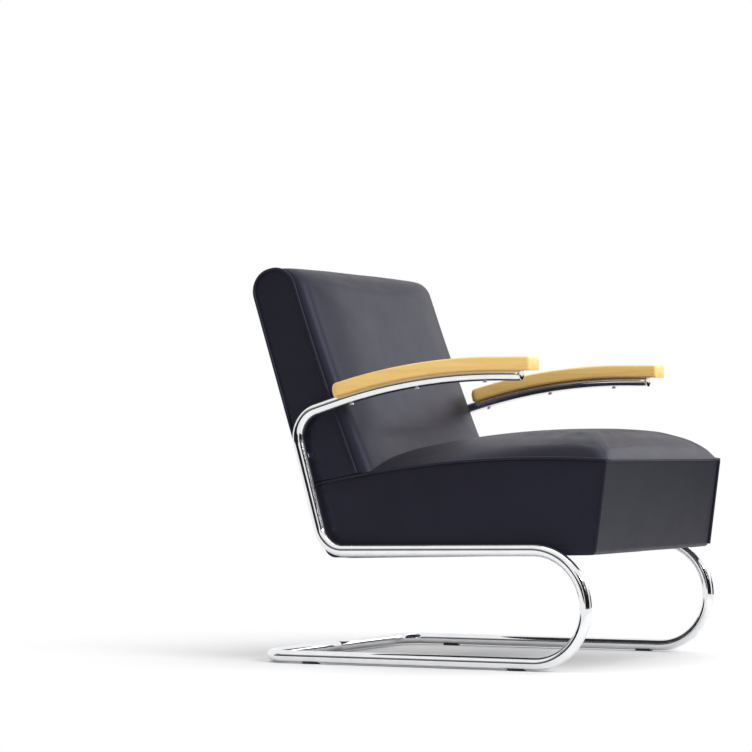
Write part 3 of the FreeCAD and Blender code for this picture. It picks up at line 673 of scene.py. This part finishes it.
def seat_piping(material):
    bm = bmesh.new()
    aside = ACROSS * (HALF_W + WELT_PROUD)
    out = left_of(FRONT_AXIS) * WELT_PROUD
    foot = SEAT_FRONT_BOTTOM + FRONT_AXIS * WELT_FOOT + out + aside
    corner = SEAT_FRONT_TOP + out + aside
    seam = [over_seam(SEAM_L * index / SEAM_STEPS, WELT_LIFT) + aside for index in range(1, SEAM_STEPS + 1)]
    low_share, rear_share, seam_share = WELT_TURN_SHARES
    corner_low, corner_rear = corner - FRONT_AXIS * WELT_TURN, corner.lerp(seam[0], seam_share)
    turn = [corner_low.lerp(corner, low_share), corner.lerp(corner_rear, rear_share)]
    side = [*dense([foot, corner_low], WELT_RUN_MAX), *turn, corner_rear, *seam]
    for line in (side, mirrored(side)):
        add_bar(bm, line, WELT_R, WELT_SIDES)
    add_bar(bm, dense([corner, *mirrored([corner])], WELT_RUN_MAX), WELT_R, WELT_SIDES)
    new_piece("seat_piping", bm, material, ("seat_welts",), LEATHER_SHARP)


def back_piping(name, sign, material):
    outline = back_outline(1.0, 0.0)
    line = outline[: len(outline) - LINE_STEPS + 1]
    placed = [Vector((sign * (HALF_W + WELT_PROUD), point.y, point.z)) for point in line]
    bm = bmesh.new()
    add_bar(bm, placed, WELT_R, WELT_SIDES)
    new_piece(name, bm, material, (name.replace("piping", "welt"),), LEATHER_SHARP)


def dust_cloth(material):
    """Thin black cloth under the seat, stretched over its frame."""
    low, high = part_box("seat_dust_cover")
    bm = bmesh.new()
    front_left, front_right = Vector((low.x, low.y, high.z)), Vector((high.x, low.y, high.z))
    rear_left, rear_right = Vector((low.x, high.y, low.z)), Vector((high.x, high.y, low.z))
    rows = []
    for row in range(CLOTH_STEPS + 1):
        line = []
        for column in range(CLOTH_STEPS + 1):
            u, v = column / CLOTH_STEPS, row / CLOTH_STEPS
            point = front_left.lerp(front_right, u).lerp(rear_left.lerp(rear_right, u), v)
            sag = CLOTH_SAG * math.sin(math.pi * u) * math.sin(math.pi * v)
            line.append(bm.verts.new(point - UP * (sag + CLOTH_DROP)))
        rows.append(line)
    for near, far in zip(rows, rows[1:]):
        for index in range(CLOTH_STEPS):
            bm.faces.new((near[index], near[index + 1], far[index + 1], far[index]))
    piece = new_piece("dust_cloth", bm, material, ("seat_dust_cover",))


# Materials


class Surface:
    """A node material with a helper for each kind of node it uses."""

    def __init__(self, name, **values):
        self.material = bpy.data.materials.new(name)
        self.material.use_nodes = True
        self.tree = self.material.node_tree
        self.shader = self.tree.nodes["Principled BSDF"]
        for socket, value in values.items():
            self.shader.inputs[socket.replace("_", " ")].default_value = value
        self.place = self.tree.nodes.new("ShaderNodeTexCoord").outputs["Object"]
        self.normal = None

    def link(self, source, target):
        self.tree.links.new(source, target)

    def stretched(self, scale, turn=(0, 0, 0)):
        mapping = self.tree.nodes.new("ShaderNodeMapping")
        mapping.inputs["Scale"].default_value = scale
        mapping.inputs["Rotation"].default_value = turn
        self.link(self.place, mapping.inputs["Vector"])
        return mapping.outputs["Vector"]

    def noise(self, scale, detail=4.0, roughness=0.5, place=None, distortion=0.0):
        node = self.tree.nodes.new("ShaderNodeTexNoise")
        node.inputs["Scale"].default_value = scale
        node.inputs["Detail"].default_value = detail
        node.inputs["Roughness"].default_value = roughness
        node.inputs["Distortion"].default_value = distortion
        self.link(place or self.place, node.inputs["Vector"])
        return node.outputs["Fac"]

    def cells(self, scale, feature="DISTANCE_TO_EDGE", place=None):
        node = self.tree.nodes.new("ShaderNodeTexVoronoi")
        node.feature = feature
        node.inputs["Scale"].default_value = scale
        self.link(place or self.place, node.inputs["Vector"])
        return node.outputs["Distance"]

    def waves(self, scale, place=None, direction="X", distortion=0.0):
        node = self.tree.nodes.new("ShaderNodeTexWave")
        node.bands_direction = direction
        node.inputs["Scale"].default_value = scale
        node.inputs["Distortion"].default_value = distortion
        self.link(place or self.place, node.inputs["Vector"])
        return node.outputs["Fac"]

    def ramp(self, value, stops):
        node = self.tree.nodes.new("ShaderNodeValToRGB")
        while len(node.color_ramp.elements) < len(stops):
            node.color_ramp.elements.new(0.5)
        for element, (position, color) in zip(node.color_ramp.elements, stops):
            element.position = position
            element.color = (*color, 1.0)
        self.link(value, node.inputs["Fac"])
        return node.outputs["Color"]

    def spread(self, value, low, high, start=0.0, stop=1.0):
        node = self.tree.nodes.new("ShaderNodeMapRange")
        node.inputs["From Min"].default_value = start
        node.inputs["From Max"].default_value = stop
        node.inputs["To Min"].default_value = low
        node.inputs["To Max"].default_value = high
        self.link(value, node.inputs["Value"])
        return node.outputs["Result"]

    def mixed(self, first, second, share, blend="MIX"):
        node = self.tree.nodes.new("ShaderNodeMix")
        node.data_type = "RGBA"
        node.blend_type = blend
        for socket, source in (("A_Color", first), ("B_Color", second)):
            target = next(item for item in node.inputs if item.identifier == socket)
            self.link(source, target)
        if isinstance(share, float):
            node.inputs["Factor"].default_value = share
        else:
            self.link(share, node.inputs["Factor"])
        return next(item for item in node.outputs if item.identifier == "Result_Color")

    def bump(self, height, strength, distance):
        node = self.tree.nodes.new("ShaderNodeBump")
        node.inputs["Strength"].default_value = strength
        node.inputs["Distance"].default_value = distance
        self.link(height, node.inputs["Height"])
        if self.normal:
            self.link(self.normal, node.inputs["Normal"])
        self.normal = node.outputs["Normal"]

    def finish(self, color, roughness=None):
        self.link(color, self.shader.inputs["Base Color"])
        if roughness:
            self.link(roughness, self.shader.inputs["Roughness"])
        if self.normal:
            self.link(self.normal, self.shader.inputs["Normal"])
        return self.material


def leather(name, dark, light):
    """Fine pebbled grain with painted shade darkening its grooves, faint slow creases and a slightly uneven
    dye.
    """
    skin = Surface(name, Specular_IOR_Level=0.40)
    skin.shader.inputs["Specular Tint"].default_value = (0.66, 0.67, 1.0, 1.0)
    cloudy = skin.noise(9.0, 5.0, 0.6)
    fine = skin.noise(240.0, 3.0, 0.6)
    pores = skin.cells(560.0)
    dye = skin.ramp(cloudy, ((0.3, dark), (0.7, light)))
    # Painted shade: the colour is darker along the grooves between the pebbles, the same grooves that the
    # pore bump below sinks.
    grain = skin.ramp(pores, ((0.0, (0.55, 0.55, 0.55)), (0.16, (1.0, 1.0, 1.0))))
    color = skin.mixed(dye, grain, 0.45, "MULTIPLY")
    skin.bump(skin.noise(14.0, 3.0, 0.5, distortion=0.4), 0.12, 0.0015)
    skin.bump(skin.spread(pores, 0.0, 1.0, 0.0, 0.22), 0.25, 0.0002)
    skin.bump(fine, 0.2, 0.00015)
    return skin.finish(color, skin.spread(skin.noise(26.0, 4.0, 0.6), 0.41, 0.46, 0.3, 0.7))


def chrome():
    """Polished plating with faint haze and polishing marks along it."""
    metal = Surface("chrome", Metallic=1.0, Roughness=0.05)
    haze = metal.noise(22.0, 5.0, 0.6)
    marks = metal.noise(900.0, 2.0, 0.6)
    metal.bump(marks, 0.04, 0.00004)
    color = metal.ramp(haze, ((0.2, (0.78, 0.79, 0.80)), (0.8, (0.90, 0.90, 0.91))))
    return metal.finish(color, metal.spread(haze, 0.035, 0.085))


def armrest_wood():
    """Pale wood with growth lines along the arm, fine pores and a satin oil finish."""
    wood = Surface("armrest_wood", Specular_IOR_Level=0.45, Coat_Weight=0.12, Coat_Roughness=0.25)
    along = wood.stretched((26.0, 1.6, 26.0))
    pores_place = wood.stretched((420.0, 9.0, 420.0))
    rings = wood.noise(2.2, 6.0, 0.62, along, 1.4)
    bands = wood.waves(3.4, along, "X", 6.0)
    pores = wood.noise(1.0, 3.0, 0.7, pores_place)
    tones = ((0.28, (0.82, 0.52, 0.16)), (0.5, (0.87, 0.57, 0.19)), (0.72, (0.92, 0.63, 0.24)))
    tone = wood.ramp(rings, tones)
    line = wood.ramp(bands, ((0.0, (0.90, 0.86, 0.80)), (0.35, (1.0, 1.0, 1.0))))
    color = wood.mixed(tone, line, 0.4, "MULTIPLY")
    dots = wood.ramp(pores, ((0.30, (0.62, 0.50, 0.38)), (0.44, (1.0, 1.0, 1.0))))
    color = wood.mixed(color, dots, 0.22, "MULTIPLY")
    wood.bump(pores, 0.15, 0.0002)
    wood.bump(rings, 0.08, 0.0004)
    return wood.finish(color, wood.spread(pores, 0.46, 0.3))


def board_wood():
    """Pale cross-grained board of the hidden frame."""
    wood = Surface("frame_board", Specular_IOR_Level=0.3)
    along = wood.stretched((5.0, 60.0, 5.0))
    layers = wood.waves(55.0, wood.stretched((1.0, 1.0, 1.0)), "X", 0.6)
    grain = wood.noise(2.0, 5.0, 0.6, along)
    tone = wood.ramp(grain, ((0.3, (0.46, 0.31, 0.16)), (0.7, (0.66, 0.49, 0.29))))
    line = wood.ramp(layers, ((0.0, (0.8, 0.74, 0.66)), (0.5, (1.0, 1.0, 1.0))))
    color = wood.mixed(tone, line, 0.4, "MULTIPLY")
    wood.bump(grain, 0.2, 0.0004)
    return wood.finish(color, wood.spread(grain, 0.55, 0.75))


def woven(name, dark, light, pitch):
    """Plain weave: two crossed sets of threads, each darker towards its edges as painted shade between the
    threads.
    """
    cloth = Surface(name, Specular_IOR_Level=0.2, Sheen_Weight=0.2)
    warp = cloth.waves(1.0 / pitch, None, "X")
    weft = cloth.waves(1.0 / pitch, None, "Y")
    tones = ((0.0, dark), (1.0, light))
    # Painted shade: the waves that raise the threads in the bump below also darken the colour between them.
    threads_and_gap_shade = cloth.mixed(cloth.ramp(warp, tones), cloth.ramp(weft, tones), 0.5)
    cloth.bump(warp, 0.4, 0.0003)
    cloth.bump(weft, 0.4, 0.0003)
    return cloth.finish(threads_and_gap_shade, cloth.spread(cloth.noise(60.0), 0.75, 0.95))


def moulded(name, dark, light, rough, metallic=0.0):
    """Moulded or plated small part with a fine uneven surface."""
    part = Surface(name, Metallic=metallic, Specular_IOR_Level=0.4)
    speckle = part.noise(300.0, 3.0, 0.6)
    part.bump(speckle, 0.15, 0.0001)
    color = part.ramp(part.noise(40.0, 4.0, 0.6), ((0.3, dark), (0.7, light)))
    return part.finish(color, part.spread(speckle, rough, rough + 0.15))


def foam():
    """Open-celled yellowish foam, with painted shade darkening the hollow of each cell."""
    filling = Surface("filling", Specular_IOR_Level=0.2)
    cells = filling.cells(420.0, "F1")
    filling.bump(cells, 0.5, 0.0008)
    # Painted shade: each cell is darker towards its middle, where the bump above sinks it into a hollow.
    return filling.finish(filling.ramp(cells, ((0.0, (0.5, 0.42, 0.26)), (0.6, (0.82, 0.75, 0.56)))))


# Studio


def studio_floor():
    """White paper round the chair, which turns into an evenly lit background further out."""
    bm = bmesh.new()
    bmesh.ops.create_circle(bm, cap_ends=True, cap_tris=True, segments=FLOOR_SIDES, radius=FLOOR_R)
    mesh = bpy.data.meshes.new("studio_floor")
    bm.to_mesh(mesh)
    bm.free()
    paper = Surface("floor_paper", Specular_IOR_Level=0.1, Roughness=0.9)
    tone = paper.ramp(paper.noise(3.0, 3.0), ((0.0, (0.86, 0.86, 0.865)), (1.0, (0.89, 0.89, 0.89))))
    mesh.materials.append(paper.finish(tone))
    reach = paper.tree.nodes.new("ShaderNodeVectorMath")
    reach.operation = "LENGTH"
    paper.link(paper.place, reach.inputs[0])
    lit = paper.tree.nodes.new("ShaderNodeEmission")
    lit.inputs["Color"].default_value = (*STUDIO_WHITE, 1.0)
    mix = paper.tree.nodes.new("ShaderNodeMixShader")
    paper.link(paper.spread(reach.outputs["Value"], 0.0, 1.0, *PAPER_FADE), mix.inputs["Fac"])
    paper.link(paper.shader.outputs[0], mix.inputs[1])
    paper.link(lit.outputs[0], mix.inputs[2])
    paper.link(mix.outputs[0], paper.tree.nodes["Material Output"].inputs["Surface"])
    floor = bpy.data.objects.new("studio_floor", mesh)
    bpy.context.scene.collection.objects.link(floor)


def dark_card(name, tone, radius, start, stop, low, high):
    """A strip of dark cloth round the studio, between two directions in degrees from +X."""
    bm = bmesh.new()
    rows = []
    for height in (low, high):
        shares = [step / CARD_STEPS for step in range(CARD_STEPS + 1)]
        angles = [math.radians(start + (stop - start) * share) for share in shares]
        row = [Vector((math.cos(a) * radius, math.sin(a) * radius, height)) for a in angles]
        rows.append([bm.verts.new(point) for point in row])
    for index in range(CARD_STEPS):
        bm.faces.new((rows[0][index], rows[0][index + 1], rows[1][index + 1], rows[1][index]))
    mesh = bpy.data.meshes.new(name)
    bm.to_mesh(mesh)
    bm.free()
    cloth = Surface(name, Specular_IOR_Level=0.0, Roughness=1.0)
    mesh.materials.append(cloth.finish(cloth.ramp(cloth.noise(2.0), ((0.0, tone), (1.0, tone)))))
    card = bpy.data.objects.new(name, mesh)
    card.visible_camera = False
    card.visible_shadow = False
    bpy.context.scene.collection.objects.link(card)


def studio_world():
    world = bpy.data.worlds.new("studio")
    bpy.context.scene.world = world
    world.use_nodes = True
    back = world.node_tree.nodes["Background"]
    back.inputs["Color"].default_value = (*STUDIO_WHITE, 1.0)
    back.inputs["Strength"].default_value = 1.0


def softbox(name, at, target, width, height, watts):
    light = bpy.data.lights.new(name, "AREA")
    light.shape = "RECTANGLE"
    light.size = width
    light.size_y = height
    light.energy = watts
    lamp = bpy.data.objects.new(name, light)
    lamp.location = at
    lamp.rotation_euler = (Vector(target) - Vector(at)).to_track_quat("-Z", "Y").to_euler()
    bpy.context.scene.collection.objects.link(lamp)


def camera():
    forward = Vector((
        math.cos(CAMERA_YAW) * math.cos(CAMERA_PITCH),
        math.sin(CAMERA_YAW) * math.cos(CAMERA_PITCH),
        math.sin(CAMERA_PITCH),
    ))
    level = forward.cross(UP).normalized()
    rise = level.cross(forward)
    right = level * math.cos(CAMERA_ROLL) + rise * math.sin(CAMERA_ROLL)
    top = rise * math.cos(CAMERA_ROLL) - level * math.sin(CAMERA_ROLL)
    data = bpy.data.cameras.new("photo_camera")
    data.sensor_width = CAMERA_SENSOR
    data.sensor_fit = "HORIZONTAL"
    data.lens = CAMERA_LENS
    view = bpy.data.objects.new("photo_camera", data)
    turn = Matrix((right, top, -forward)).transposed().to_4x4()
    view.matrix_world = Matrix.Translation(CAMERA_AT) @ turn
    bpy.context.scene.collection.objects.link(view)
    bpy.context.scene.camera = view


def dress_solids(by_slot):
    """Solids that stay as they are get the material of their slot."""
    for entry in frame["record"]["subparts"]:
        node = NODES[entry["node"]]
        node.data.materials.clear()
        node.data.materials.append(by_slot[entry["material_slot"]])


def build():
    hide = leather("leather", (0.0070, 0.0063, 0.0105), (0.0095, 0.0088, 0.0140))
    plating = chrome()
    arm = armrest_wood()
    # The dark and light tones of the webbing and dust cloth span the threads and the painted shade between
    # them.
    webbing = woven("webbing", (0.22, 0.17, 0.10), (0.55, 0.46, 0.32), 0.0012)
    cloth = woven("dust_cloth", (0.008, 0.008, 0.009), (0.03, 0.03, 0.032), 0.0008)
    dress_solids({
        "chromed_steel": plating,
        "oiled_wood": arm,
        "leather": hide,
        "padded_leather": hide,
        "frame_board": board_wood(),
        "webbing": webbing,
        "filling": foam(),
        "dust_cloth": cloth,
        "black_plastic": moulded("black_plastic", (0.012, 0.012, 0.013), (0.03, 0.03, 0.032), 0.4),
        "zinc_steel": moulded("zinc_steel", (0.50, 0.51, 0.52), (0.66, 0.67, 0.68), 0.25, 1.0),
    })
    side_tube("left_chrome_tube", SIDE_POINTS, plating)
    side_tube("right_chrome_tube", mirrored(SIDE_POINTS), plating)
    end_caps(plating)
    armrest("left_wood", 1.0, arm)
    armrest("right_wood", -1.0, arm)
    seat_block(hide)
    seat_pad(hide)
    back_cushion(hide)
    seat_piping(hide)
    back_piping("left_back_piping", 1.0, hide)
    back_piping("right_back_piping", -1.0, hide)
    dust_cloth(cloth)


build()
studio_floor()
studio_world()
for card in CARDS:
    dark_card(*card)
for light in LIGHTS:
    softbox(*light)
camera()
bpy.context.scene.view_settings.view_transform = "Standard"
